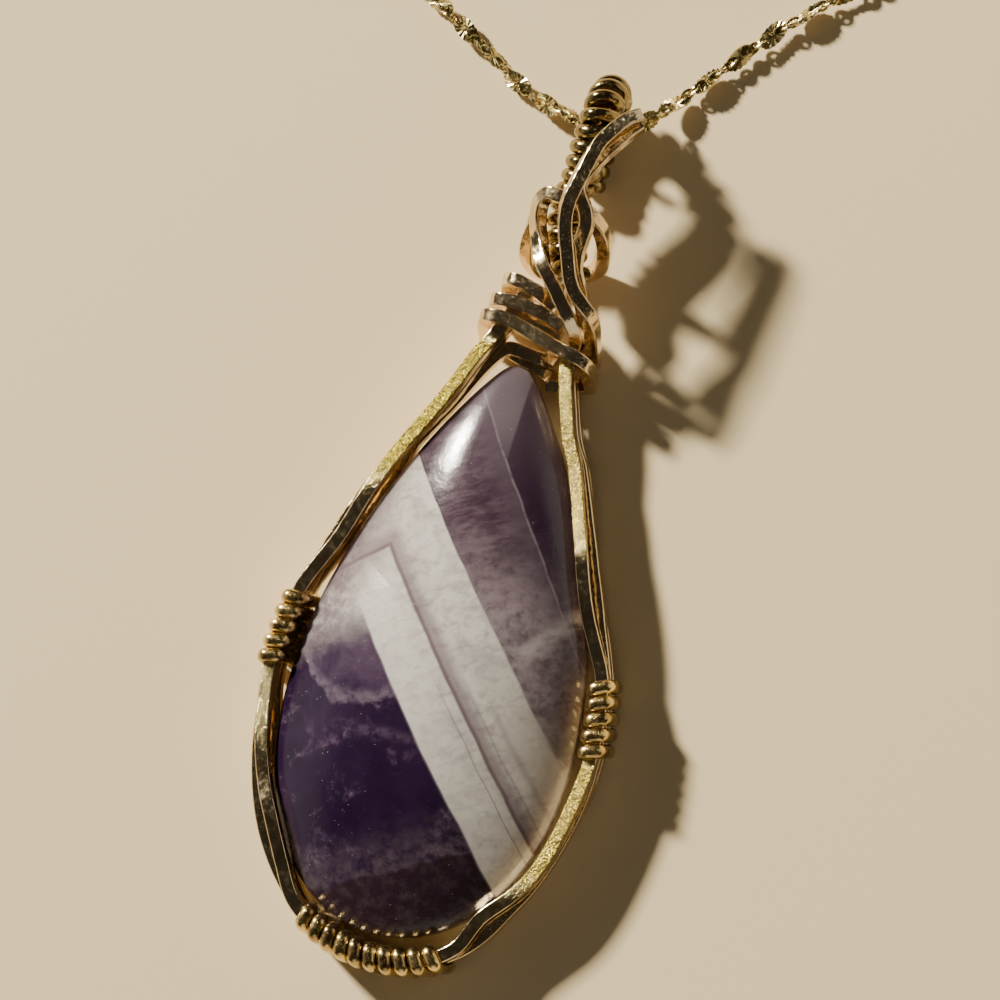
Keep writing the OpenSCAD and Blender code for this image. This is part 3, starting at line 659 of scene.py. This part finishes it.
def fan_shape():
    """A thin oval plate pinched at its middle, with flutes that run out from its centre."""
    n = FAN_RIM
    a = 2 * math.pi * np.arange(n) / n
    pinch = 1 - FAN_PINCH * np.abs(np.sin(a)) ** 3
    rim = np.stack([np.cos(a) * FAN_L / 2, np.sin(a) * FAN_W / 2 * pinch], -1)
    wave = np.where(np.arange(n) % 2 == 0, 1, -1)
    points, faces = [], []
    for side in (1, -1):
        base = len(points)
        for share, lift, thick, scallop in ((FAN_BOSS, FAN_BOSS_FLUTE, 1, 0),
                                            (1, FAN_FLUTE, FAN_RIM_T, FAN_SCALLOP)):
            z = side * FAN_T / 2 * thick + wave * lift
            shape = rim * share * (1 + scallop * wave[:, None])
            points += np.column_stack([shape, z]).tolist()
        points.append([0, 0, side * FAN_T * FAN_DIMPLE])
        for i in range(n):
            k = (i + 1) % n
            quad = (base + i, base + n + i, base + n + k, base + k)
            wedge = (base + 2 * n, base + i, base + k)
            faces += [quad, wedge] if side == 1 else [quad[::-1], wedge[::-1]]
    for i in range(n):
        k = (i + 1) % n
        faces.append((n + i, 3 * n + 1 + i, 3 * n + 1 + k, n + k))
    return np.array(points), faces


def chain(name, route, rng, material):
    """Fluted plates a set distance apart, joined by small links, laid along a route."""
    path = curve(rows_of(route), CHAIN_STEPS)[:, :3]
    link, fan = link_shape(), fan_shape()
    points, faces, count = [], [], 0
    per_fan = round(FAN_PITCH / LINK_PITCH)
    for i in range(int((lengths(path)[-1] - LINK_L / 2) / LINK_PITCH) + 1):
        s = LINK_L / 2 + i * LINK_PITCH
        behind, here, front = along(path, np.array([s - CHAIN_AHEAD, s, s + CHAIN_AHEAD]))
        ahead = unit(front - behind)
        up = square_to(np.array([0, 0, 1.0]), ahead)
        is_fan = i % per_fan == 0 and s > FAN_FROM
        shape, shape_faces = fan if is_fan else link
        most_roll, most_yaw = FAN_TURN if is_fan else LINK_TURN
        roll = FAN_ROLL * math.sin(i * FAN_ROLL_WAVE) if is_fan else LINK_ROLL + 90 * (i % 2)
        roll = math.radians(roll + rng.uniform(-most_roll, most_roll))
        yaw = math.radians(rng.uniform(-most_yaw, most_yaw))
        side = np.cross(up, ahead)
        x_axis = ahead * math.cos(yaw) + side * math.sin(yaw)
        across = side * math.cos(yaw) - ahead * math.sin(yaw)
        y_axis = across * math.cos(roll) + up * math.sin(roll)
        z_axis = np.cross(x_axis, y_axis)
        points.append(here + shape @ np.array([x_axis, y_axis, z_axis]))
        faces += [tuple(v + count for v in f) for f in shape_faces]
        count += len(shape)
    obj = add_mesh(name, np.concatenate(points), faces, smooth=False)
    dress(obj, name, material)


# ---- Materials ----
class Look:
    """A material's nodes. Places are the object's own, in millimetres."""

    def __init__(self, name, colour, metallic, roughness):
        self.material = bpy.data.materials.new(name)
        self.material.use_nodes = True
        self.tree = self.material.node_tree
        self.shader = self.tree.nodes["Principled BSDF"]
        self.set(colour, "Base Color")
        self.set(metallic, "Metallic")
        self.set(roughness, "Roughness")
        self.coords = self.tree.nodes.new("ShaderNodeTexCoord")
        self.place = self.vector("SCALE", self.coords.outputs["Object"], scale=1 / MM)
        self.x, self.y, self.z = self.parts(self.place)

    def put(self, socket, value):
        if isinstance(value, bpy.types.NodeSocket):
            self.tree.links.new(value, socket)
        elif isinstance(value, tuple) and len(value) == 3 and socket.type == "RGBA":
            socket.default_value = (*value, 1)
        else:
            socket.default_value = value

    def set(self, value, name):
        self.put(self.shader.inputs[name], value)

    def vector(self, operation, a, b=None, scale=None):
        node = self.tree.nodes.new("ShaderNodeVectorMath")
        node.operation = operation
        self.put(node.inputs[0], a)
        if b is not None:
            self.put(node.inputs[1], b)
        if scale is not None:
            self.put(node.inputs["Scale"], scale)
        return node.outputs[0]

    def parts(self, vector):
        node = self.tree.nodes.new("ShaderNodeSeparateXYZ")
        self.put(node.inputs[0], vector)
        return node.outputs

    def math(self, operation, a, b=0.0):
        node = self.tree.nodes.new("ShaderNodeMath")
        node.operation = operation
        self.put(node.inputs[0], a)
        self.put(node.inputs[1], b)
        return node.outputs[0]

    def product(self, *factors):
        out = factors[0]
        for factor in factors[1:]:
            out = self.math("MULTIPLY", out, factor)
        return out

    def across(self, a, b, shift=0.0):
        """a x + b y + shift"""
        total = self.math("ADD", self.product(self.x, a), self.product(self.y, b))
        return self.math("ADD", total, shift)

    def ease(self, value, start, end):
        """0 before start, 1 past end, and a smooth step between them."""
        node = self.tree.nodes.new("ShaderNodeMapRange")
        node.interpolation_type = "SMOOTHSTEP"
        flip = start > end
        for name, v in (("Value", value), ("From Min", end if flip else start),
                        ("From Max", start if flip else end),
                        ("To Min", 1.0 if flip else 0.0), ("To Max", 0.0 if flip else 1.0)):
            self.put(node.inputs[name], v)
        return node.outputs[0]

    def step(self, value, at):
        """A crisp edge: 0 before a level and 1 past it."""
        return self.ease(value, at - EDGE_HALF, at + EDGE_HALF)

    def line(self, value, at, half):
        """1 where a value is at a level, falling to 0 at half a width off it."""
        off = self.math("ABSOLUTE", self.math("SUBTRACT", value, at))
        return self.ease(off, half, 0.0)

    def noise(self, scale, detail=3.0, rough=0.55, place=None, warp=0.0):
        """Noise with scale features to the millimetre, unless its place is stretched."""
        node = self.tree.nodes.new("ShaderNodeTexNoise")
        self.put(node.inputs["Vector"], self.place if place is None else place)
        for name, v in (("Scale", scale), ("Detail", detail), ("Roughness", rough),
                        ("Distortion", warp)):
            self.put(node.inputs[name], v)
        return node.outputs["Fac"]

    def stretched(self, x, y, z):
        return self.vector("MULTIPLY", self.place, (x, y, z))

    def mix(self, share, a, b):
        node = self.tree.nodes.new("ShaderNodeMix")
        node.data_type = "RGBA"
        self.put(node.inputs[0], share)
        self.put(node.inputs[6], a)
        self.put(node.inputs[7], b)
        return node.outputs[2]

    def bump(self, height, depth, normal=None):
        """A height in millimetres, as a share of depth, raised on the surface."""
        node = self.tree.nodes.new("ShaderNodeBump")
        self.put(node.inputs["Height"], height)
        self.put(node.inputs["Distance"], depth * MM)
        if normal is not None:
            self.put(node.inputs["Normal"], normal)
        return node.outputs["Normal"]


def metal(name, colour, wear_and_shade, gloss, dent):
    """Polished gold-filled wire: small scratches and dents, and tone that drifts along it towards a
    second colour.
    The second colour is wear on the plain wire and painted shade on the wraps, the coil and the
    chain.
    """
    look = Look(name, colour, 1.0, gloss)
    drift = look.noise(0.7, 4.0, 0.6)
    # Patches of the second colour: wear on the plain wire, painted shade on the wraps, coil and
    # chain.
    look.set(look.mix(look.ease(drift, 0.35, 0.7), colour, wear_and_shade), "Base Color")
    haze = look.noise(2.6, 5.0, 0.65)
    scratch = look.noise(1.0, 2.0, 0.6, look.stretched(38.0, 5.0, 16.0))
    cross = look.noise(1.0, 2.0, 0.6, look.stretched(6.0, 44.0, 14.0))
    marks = look.math("ADD", look.ease(scratch, 0.64, 0.74), look.ease(cross, 0.66, 0.76))
    rough = look.math("ADD", look.product(look.ease(haze, 0.4, 0.75), HAZE_ROUGH), gloss)
    look.set(look.math("ADD", rough, look.product(marks, SCRATCH_ROUGH)), "Roughness")
    dents = look.bump(look.noise(1.7, 3.0, 0.5), dent)
    look.set(look.bump(marks, -SCRATCH_DEPTH, dents), "Normal")
    return look.material


def satin_share(look, y, rows):
    """How satin the wire is along Y, from the rows of one side."""
    total = 0.0
    for low, high, share in rows:
        part = look.product(look.ease(y, low - 0.5, low + 2.5),
                            look.ease(y, high + 0.5, high - 0.5), share)
        total = look.math("MAXIMUM", total, part)
    return total


def frame_look():
    """The front wire: satin on top of its hammered stretches and polished elsewhere."""
    look = Look("gold_frame", GOLD_SATIN, 1.0, 0.3)
    left = look.ease(look.x, 0.5, -0.5)
    right = look.math("SUBTRACT", 1.0, left)
    y = look.math("ADD", look.y, look.math("SUBTRACT", look.noise(1.1, 3.0), 0.5))
    on_left = look.product(satin_share(look, y, SATIN_LEFT), left)
    on_right = look.product(satin_share(look, y, SATIN_RIGHT), right)
    upward = look.parts(look.coords.outputs["Normal"])["Z"]
    satin = look.product(look.math("ADD", on_left, on_right), look.ease(upward, 0.45, 0.75))
    drift = look.ease(look.noise(0.8, 4.0, 0.6), 0.35, 0.7)
    smooth = look.mix(drift, GOLD, GOLD_WORN)
    grain = look.noise(SATIN_GRAIN, 2.0, 0.6)
    grained = look.mix(look.ease(grain, 0.4, 0.56), GOLD_OLIVE, GOLD_SATIN)
    look.set(look.mix(satin, smooth, grained), "Base Color")
    haze = look.ease(look.noise(2.6, 5.0, 0.65), 0.4, 0.75)
    rough = look.math("ADD", look.product(satin, SATIN_ROUGH), look.product(haze, FRAME_HAZE_ROUGH))
    look.set(look.math("ADD", rough, FRAME_GLOSS), "Roughness")
    dents = look.bump(look.noise(1.3, 3.0, 0.5), FRAME_DENT)
    look.set(look.bump(look.product(grain, satin), SATIN_DEPTH, dents), "Normal")
    return look.material


class Amethyst(Look):
    """Banded amethyst: a white chevron band between deep violet and mauve quartz.

    across_band is a place across the white band, and across_arm one across the short arm
    that meets it in the chevron. Both run in millimetres from the middle of the stone.
    """

    def __init__(self):
        super().__init__("amethyst", STONE_TONE, 0.0, STONE_ROUGH)
        self.soft = self.noise(0.35, 2.0, 0.5)
        self.cloud = self.noise(0.55, 6.0, 0.6, warp=0.6)
        self.fine = self.noise(1.9, 5.0, 0.6)
        self.ripple = self.product(self.math("SUBTRACT", self.noise(1.0, 3.0, 0.5), 0.5), 0.9)
        self.wander = self.product(self.math("SUBTRACT", self.soft, 0.5), 0.3)
        self.across_band = self.across(*BAND_WAY, self.wander)
        self.across_arm = self.across(*ARM_WAY, self.wander)
        self.fibre = self.fibres()
        fade = self.ease(self.math("ADD", self.across_arm, self.product(self.cloud, 1.8)), 2.4, 5.1)
        self.band = self.math("MAXIMUM", self.step(self.across_band, BAND_LEFT), fade)
        body = self.band_marks(self.mix(self.band, self.violet(), self.white()))
        body = self.mix(self.step(self.across_band, BAND_RIGHT), body, self.mauve())
        self.set(self.seams(body), "Base Color")
        self.finish()

    def fibres(self):
        """Streaks that run across the band."""
        along_band = self.across(-BAND_WAY[1], BAND_WAY[0])
        place = self.tree.nodes.new("ShaderNodeCombineXYZ")
        slant = self.math("ADD", along_band, self.product(self.across_band, 0.15))
        self.put(place.inputs[0], self.product(self.across_band, 0.9))
        self.put(place.inputs[1], self.product(slant, 2.3))
        self.put(place.inputs[2], self.z)
        return self.noise(1.0, 5.0, 0.6, place.outputs[0], 0.25)

    def violet(self):
        """Violet field: wisps, a scalloped growth line with haze over it, and a dark foot."""
        wisp = self.product(self.ease(self.cloud, 0.5, 0.78), self.ease(self.fine, 0.4, 0.7))
        violet = self.mix(self.ease(self.soft, 0.35, 0.7), VIOLET_DARK, VIOLET_RICH)
        violet = self.mix(self.product(wisp, 0.9), violet, WISP)
        crack = self.line(self.noise(0.42, 2.0, 0.5, warp=1.2), 0.5, 0.012)
        violet = self.mix(self.product(crack, wisp, 0.8), violet, CRACK)
        return self.foot(self.growth(violet))

    def growth(self, violet):
        """Hazy crystal over a growth line that hangs like a bowl, and a fainter line below."""
        left = self.math("MAXIMUM", self.math("SUBTRACT", GROWTH_X, self.x), 0.0)
        right = self.math("MAXIMUM", self.math("SUBTRACT", self.x, GROWTH_X), 0.0)
        bowl = self.math("ADD", self.product(left, left, 0.25), self.product(right, right, 0.12))
        y = self.math("ADD", self.y, self.ripple)
        level = self.math("SUBTRACT", y, self.math("ADD", bowl, GROWTH_Y))
        haze = self.mix(self.ease(self.cloud, 0.35, 0.7), VIOLET_THIN, VIOLET_LILAC)
        violet = self.mix(self.ease(level, -0.15, 0.5), violet, haze)
        rim = self.product(self.ease(level, -0.25, 0.0), self.ease(level, 0.9, 0.1),
                           self.ease(self.fine, 0.25, 0.6), 0.6)
        violet = self.mix(rim, violet, GROWTH_RIM)
        second = self.product(self.line(y, SECOND_Y, 0.55), self.ease(self.fine, 0.35, 0.65),
                              self.ease(self.x, -6.0, -2.5), 0.35)
        return self.mix(second, violet, SECOND_RIM)

    def foot(self, violet):
        """A pale haze that ends in a crisp dark foot."""
        foot = self.across(*FOOT_WAY, self.product(self.ripple, 0.7))
        pale = self.product(self.ease(foot, -8.8, -12.0), self.ease(self.fine, 0.2, 0.7), 0.55)
        violet = self.mix(pale, violet, FOOT_PALE)
        dark = self.mix(self.ease(self.fine, 0.42, 0.75), FOOT_DARK, FOOT_GREY)
        return self.mix(self.ease(foot, -11.9, -12.15), violet, dark)

    def white(self):
        """White band, milky with faint cross streaks, greyer and clearer at both ends."""
        white = self.mix(self.ease(self.cloud, 0.35, 0.75), MILK, MILK_GREY)
        white = self.mix(self.product(self.ease(self.fine, 0.46, 0.66), 0.45), white, MILK_SPOT)
        white = self.mix(self.product(self.ease(self.fibre, 0.5, 0.68), 0.42), white, MILK_STREAK)
        milky = self.product(self.line(self.across_band, MILK_AT, 2.2),
                             self.ease(self.soft, 0.2, 0.6), 0.45)
        white = self.mix(milky, white, MILK_BRIGHT)
        clear = self.product(self.ease(self.across_band, 0.2, 2.8),
                             self.ease(self.y, 1.0, -6.5), 0.8)
        clear_tone = self.mix(self.ease(self.fine, 0.35, 0.7), CLEAR_GREY, CLEAR_WHITE)
        white = self.mix(clear, white, clear_tone)
        dusk = self.product(self.ease(self.across_arm, 3.4, 6.2), self.ease(self.x, -2.0, -5.5), 0.6)
        white = self.mix(dusk, white, MILK_DUSK)
        lilac = self.product(self.ease(self.x, -3.6, -6.6), self.ease(self.fine, 0.1, 0.6), 0.85)
        return self.mix(lilac, white, MILK_LILAC)

    def band_marks(self, body):
        """The band's bright left edge, the chevron's line and fine lines low in the band."""
        ridge = self.product(self.line(self.across_band, RIDGE_AT, 0.3),
                             self.ease(self.across_arm, 4.4, 2.8), 0.5)
        body = self.mix(ridge, body, RIDGE)
        arm = self.math("SUBTRACT", self.across_arm, ARM_AT)
        chevron = self.math("MAXIMUM", self.across_band, arm)
        shade = self.product(self.ease(chevron, -0.36, -0.24), self.ease(chevron, 0.8, 0.0),
                             self.ease(self.x, -7.0, -3.5), 0.7)
        body = self.mix(shade, body, CHEVRON_SHADE)
        body = self.mix(self.product(self.line(chevron, CHEVRON_AT, 0.2), 0.75), body, CHEVRON_DARK)
        low = self.ease(self.y, -1.5, -3.5)
        for at, half, strength in BAND_LINES:
            line = self.product(self.line(self.across_band, at, half), low, strength)
            body = self.mix(line, body, BAND_LINE)
        return body

    def mauve(self):
        """Mauve field: fibres across it, a glow, a pale line, a crossing and a clear wedge."""
        mauve = self.mix(self.ease(self.fibre, 0.34, 0.7), MAUVE_DARK, MAUVE_LIGHT)
        mauve = self.mix(self.ease(self.across_band, 4.6, 8.0), mauve, MAUVE_DEEP)
        glow = self.product(self.ease(self.y, 7.5, 0.5), self.ease(self.across_band, 7.8, 4.8),
                            self.ease(self.fine, 0.1, 0.65), 0.8)
        mauve = self.mix(glow, mauve, MAUVE_GLOW)
        mauve = self.mix(self.product(self.ease(self.cloud, 0.45, 0.7), 0.45), mauve, MAUVE_CLOUD)
        mauve = self.mix(self.product(self.ease(self.y, 7.5, 12.5), 0.4), mauve, MAUVE_TOP)
        pale = self.across(*PALE_WAY, self.wander)
        beyond = self.product(self.ease(pale, 6.45, 6.35), self.ease(pale, 4.6, 6.3), 0.25)
        mauve = self.mix(beyond, mauve, PALE_SHADE)
        pale_line = self.product(self.line(pale, PALE_AT, 0.1), self.ease(self.fine, 0.2, 0.5), 0.5)
        mauve = self.mix(pale_line, mauve, PALE_LINE)
        crossing = self.across(*CROSSING_WAY, self.product(self.ripple, 0.4))
        cross = self.product(self.line(crossing, CROSSING_AT, 0.75),
                             self.ease(self.fibre, 0.25, 0.6),
                             self.ease(self.across_band, 2.8, 4.0), 0.75)
        mauve = self.mix(cross, mauve, CROSSING)
        wedge = self.product(self.ease(self.x, 1.0, 0.85), self.ease(self.y, 8.2, 12.6),
                             self.ease(pale, 6.35, 6.5), 0.4)
        mauve = self.mix(wedge, mauve, WEDGE)
        low = self.product(self.ease(self.math("ADD", self.y, self.ripple), -1.6, -5.4), 0.95)
        low_tone = self.mix(self.ease(self.fine, 0.35, 0.7), FOOT_MILK, FOOT_WHITE)
        return self.mix(low, mauve, low_tone)

    def seams(self, body):
        """The seam between band and mauve field, bright low down and dark above, and specks."""
        seam = self.product(self.line(self.across_band, BAND_RIGHT, SEAM_HALF),
                            self.ease(self.y, 5.0, 1.0), 0.55)
        body = self.mix(seam, body, SEAM)
        groove = self.product(self.line(self.across_band, GROOVE_AT, SEAM_HALF),
                              self.ease(self.y, 5.5, 8.0), 0.6)
        body = self.mix(groove, body, GROOVE)
        specks = self.ease(self.noise(7.5, 1.0, 0.4), 0.78, 0.81)
        return self.mix(self.product(specks, 0.4), body, SPECK)

    def finish(self):
        """Milky parts glow from inside, and the polished face is a little uneven."""
        milky = self.math("MAXIMUM", self.band, self.ease(self.across_band, 1.0, 3.0))
        self.set(self.product(milky, GLOW_WEIGHT), "Subsurface Weight")
        self.set(GLOW_RADIUS, "Subsurface Radius")
        self.set(GLOW_REACH * MM, "Subsurface Scale")
        haze = self.product(self.ease(self.fine, 0.4, 0.8), STONE_HAZE)
        self.set(self.math("ADD", haze, STONE_ROUGH), "Roughness")
        self.set(COAT_WEIGHT, "Coat Weight")
        self.set(COAT_ROUGH, "Coat Roughness")
        self.set(STONE_IOR, "IOR")
        down = self.math("MAXIMUM", self.math("MINIMUM", self.across(*BOW_WAY, BOW_FROM), 8.0), -5.0)
        bow = self.bump(self.product(down, down, BOW), 1.0)
        waves = self.bump(self.noise(0.8, 2.0), POLISH_WAVE, bow)
        polish = self.bump(self.noise(7.0, 3.0, 0.7), POLISH_GRAIN, waves)
        self.set(polish, "Normal")
        self.set(polish, "Coat Normal")


gold = metal("gold_wire", GOLD, GOLD_WORN, gloss=0.1, dent=0.05)
# The wraps' red-brown patches are painted shade.
wrap_gold = metal("gold_wrap", GOLD_WRAP, GOLD_SHADED_RED, gloss=0.2, dent=0.02)
# The coil is painted darker than the other gold and patched with red-brown: painted shade.
coil_gold_shaded = metal("gold_coil_shaded", GOLD_COIL_SHADED, GOLD_SHADED_RED, gloss=0.13, dent=0.02)
# The chain's darker patches are the coil's painted-shade gold.
chain_gold = metal("gold_chain", GOLD_CHAIN, GOLD_COIL_SHADED, gloss=0.2, dent=0.03)
frame_gold = frame_look()

# ---- The object ----
dress(stone_mesh("stone"), "stone", Amethyst().material)
square_wire("front_wire", frame_path(FRONT_LEFT_END, FRONT_RIGHT_END, FRONT_LEAN, front_level),
            frame_gold)
square_wire("middle_wire", frame_path(MIDDLE_LEFT_END, MIDDLE_RIGHT_END, MIDDLE_LEAN,
                                      middle_level), gold)
square_wire("back_wire", frame_path(BACK_LEFT_END, BACK_RIGHT_END, BACK_LEAN, back_level), gold)
wrap("left_wrap", LEFT_WRAP_AT, SIDE_TURNS, SIDE_STEP, wrap_gold)
wrap("right_wrap", RIGHT_WRAP_AT, SIDE_TURNS, SIDE_STEP, wrap_gold)
wrap("bottom_wrap", BOTTOM_WRAP_AT, BOTTOM_TURNS, BOTTOM_STEP, wrap_gold)
for wire_name, route in (("neck_band", NECK_BAND_ROUTE), ("upper_ring", UPPER_RING_ROUTE),
                         ("scroll_wire", SCROLL_ROUTE)):
    square_wire(wire_name, curve(rows_of(route), END_STEPS), gold)
core = curve(rows_of(CORE_ROUTE), END_STEPS)
swept_wire("bail_core", core[:, :3], rolled(core), round_section(CORE_D), gold)
swept_wire("bail_coil", *coil_path(), round_section(COIL_WIRE_D), coil_gold_shaded, 2 * END_BEVEL)
chain("chain_left", CHAIN_LEFT_ROUTE, random.Random(5), chain_gold)
chain("chain_right", CHAIN_RIGHT_ROUTE, random.Random(8), chain_gold)
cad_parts["clasp"].material_slots[0].material = gold

# ---- Camera, light and floor ----
camera_data = bpy.data.cameras.new("camera")
camera_data.lens = CAMERA_LENS
camera_data.sensor_width = 36
camera_data.clip_start = 0.01
camera_data.clip_end = 10
camera = bpy.data.objects.new("camera", camera_data)
camera.matrix_world = Matrix(CAMERA_ROWS)
bpy.context.scene.collection.objects.link(camera)
bpy.context.scene.camera = camera

for light_name, way, size, power, colour in LIGHTS:
    data = bpy.data.lights.new(light_name, "AREA")
    data.size = size
    data.energy = power
    data.color = colour
    light = bpy.data.objects.new(light_name, data)
    light.location = Vector(way).normalized() * LIGHT_FAR
    light.rotation_euler = Vector(way).to_track_quat("Z", "Y").to_euler()
    light.visible_camera = False
    bpy.context.scene.collection.objects.link(light)

world = bpy.data.worlds.new("studio")
world.use_nodes = True
sky = world.node_tree.nodes["Background"].inputs
sky["Color"].default_value = SKY
sky["Strength"].default_value = SKY_STRENGTH
bpy.context.scene.world = world

floor_mesh = bpy.data.meshes.new("floor")
floor_mesh.from_pydata([(x * FLOOR_HALF, y * FLOOR_HALF, 0) for x, y in
                        ((-1, -1), (1, -1), (1, 1), (-1, 1))], [], [(0, 1, 2, 3)])
floor = bpy.data.objects.new("floor", floor_mesh)
bpy.context.scene.collection.objects.link(floor)
floor_mesh.materials.append(Look("floor", FLOOR, 0.0, 0.85).material)
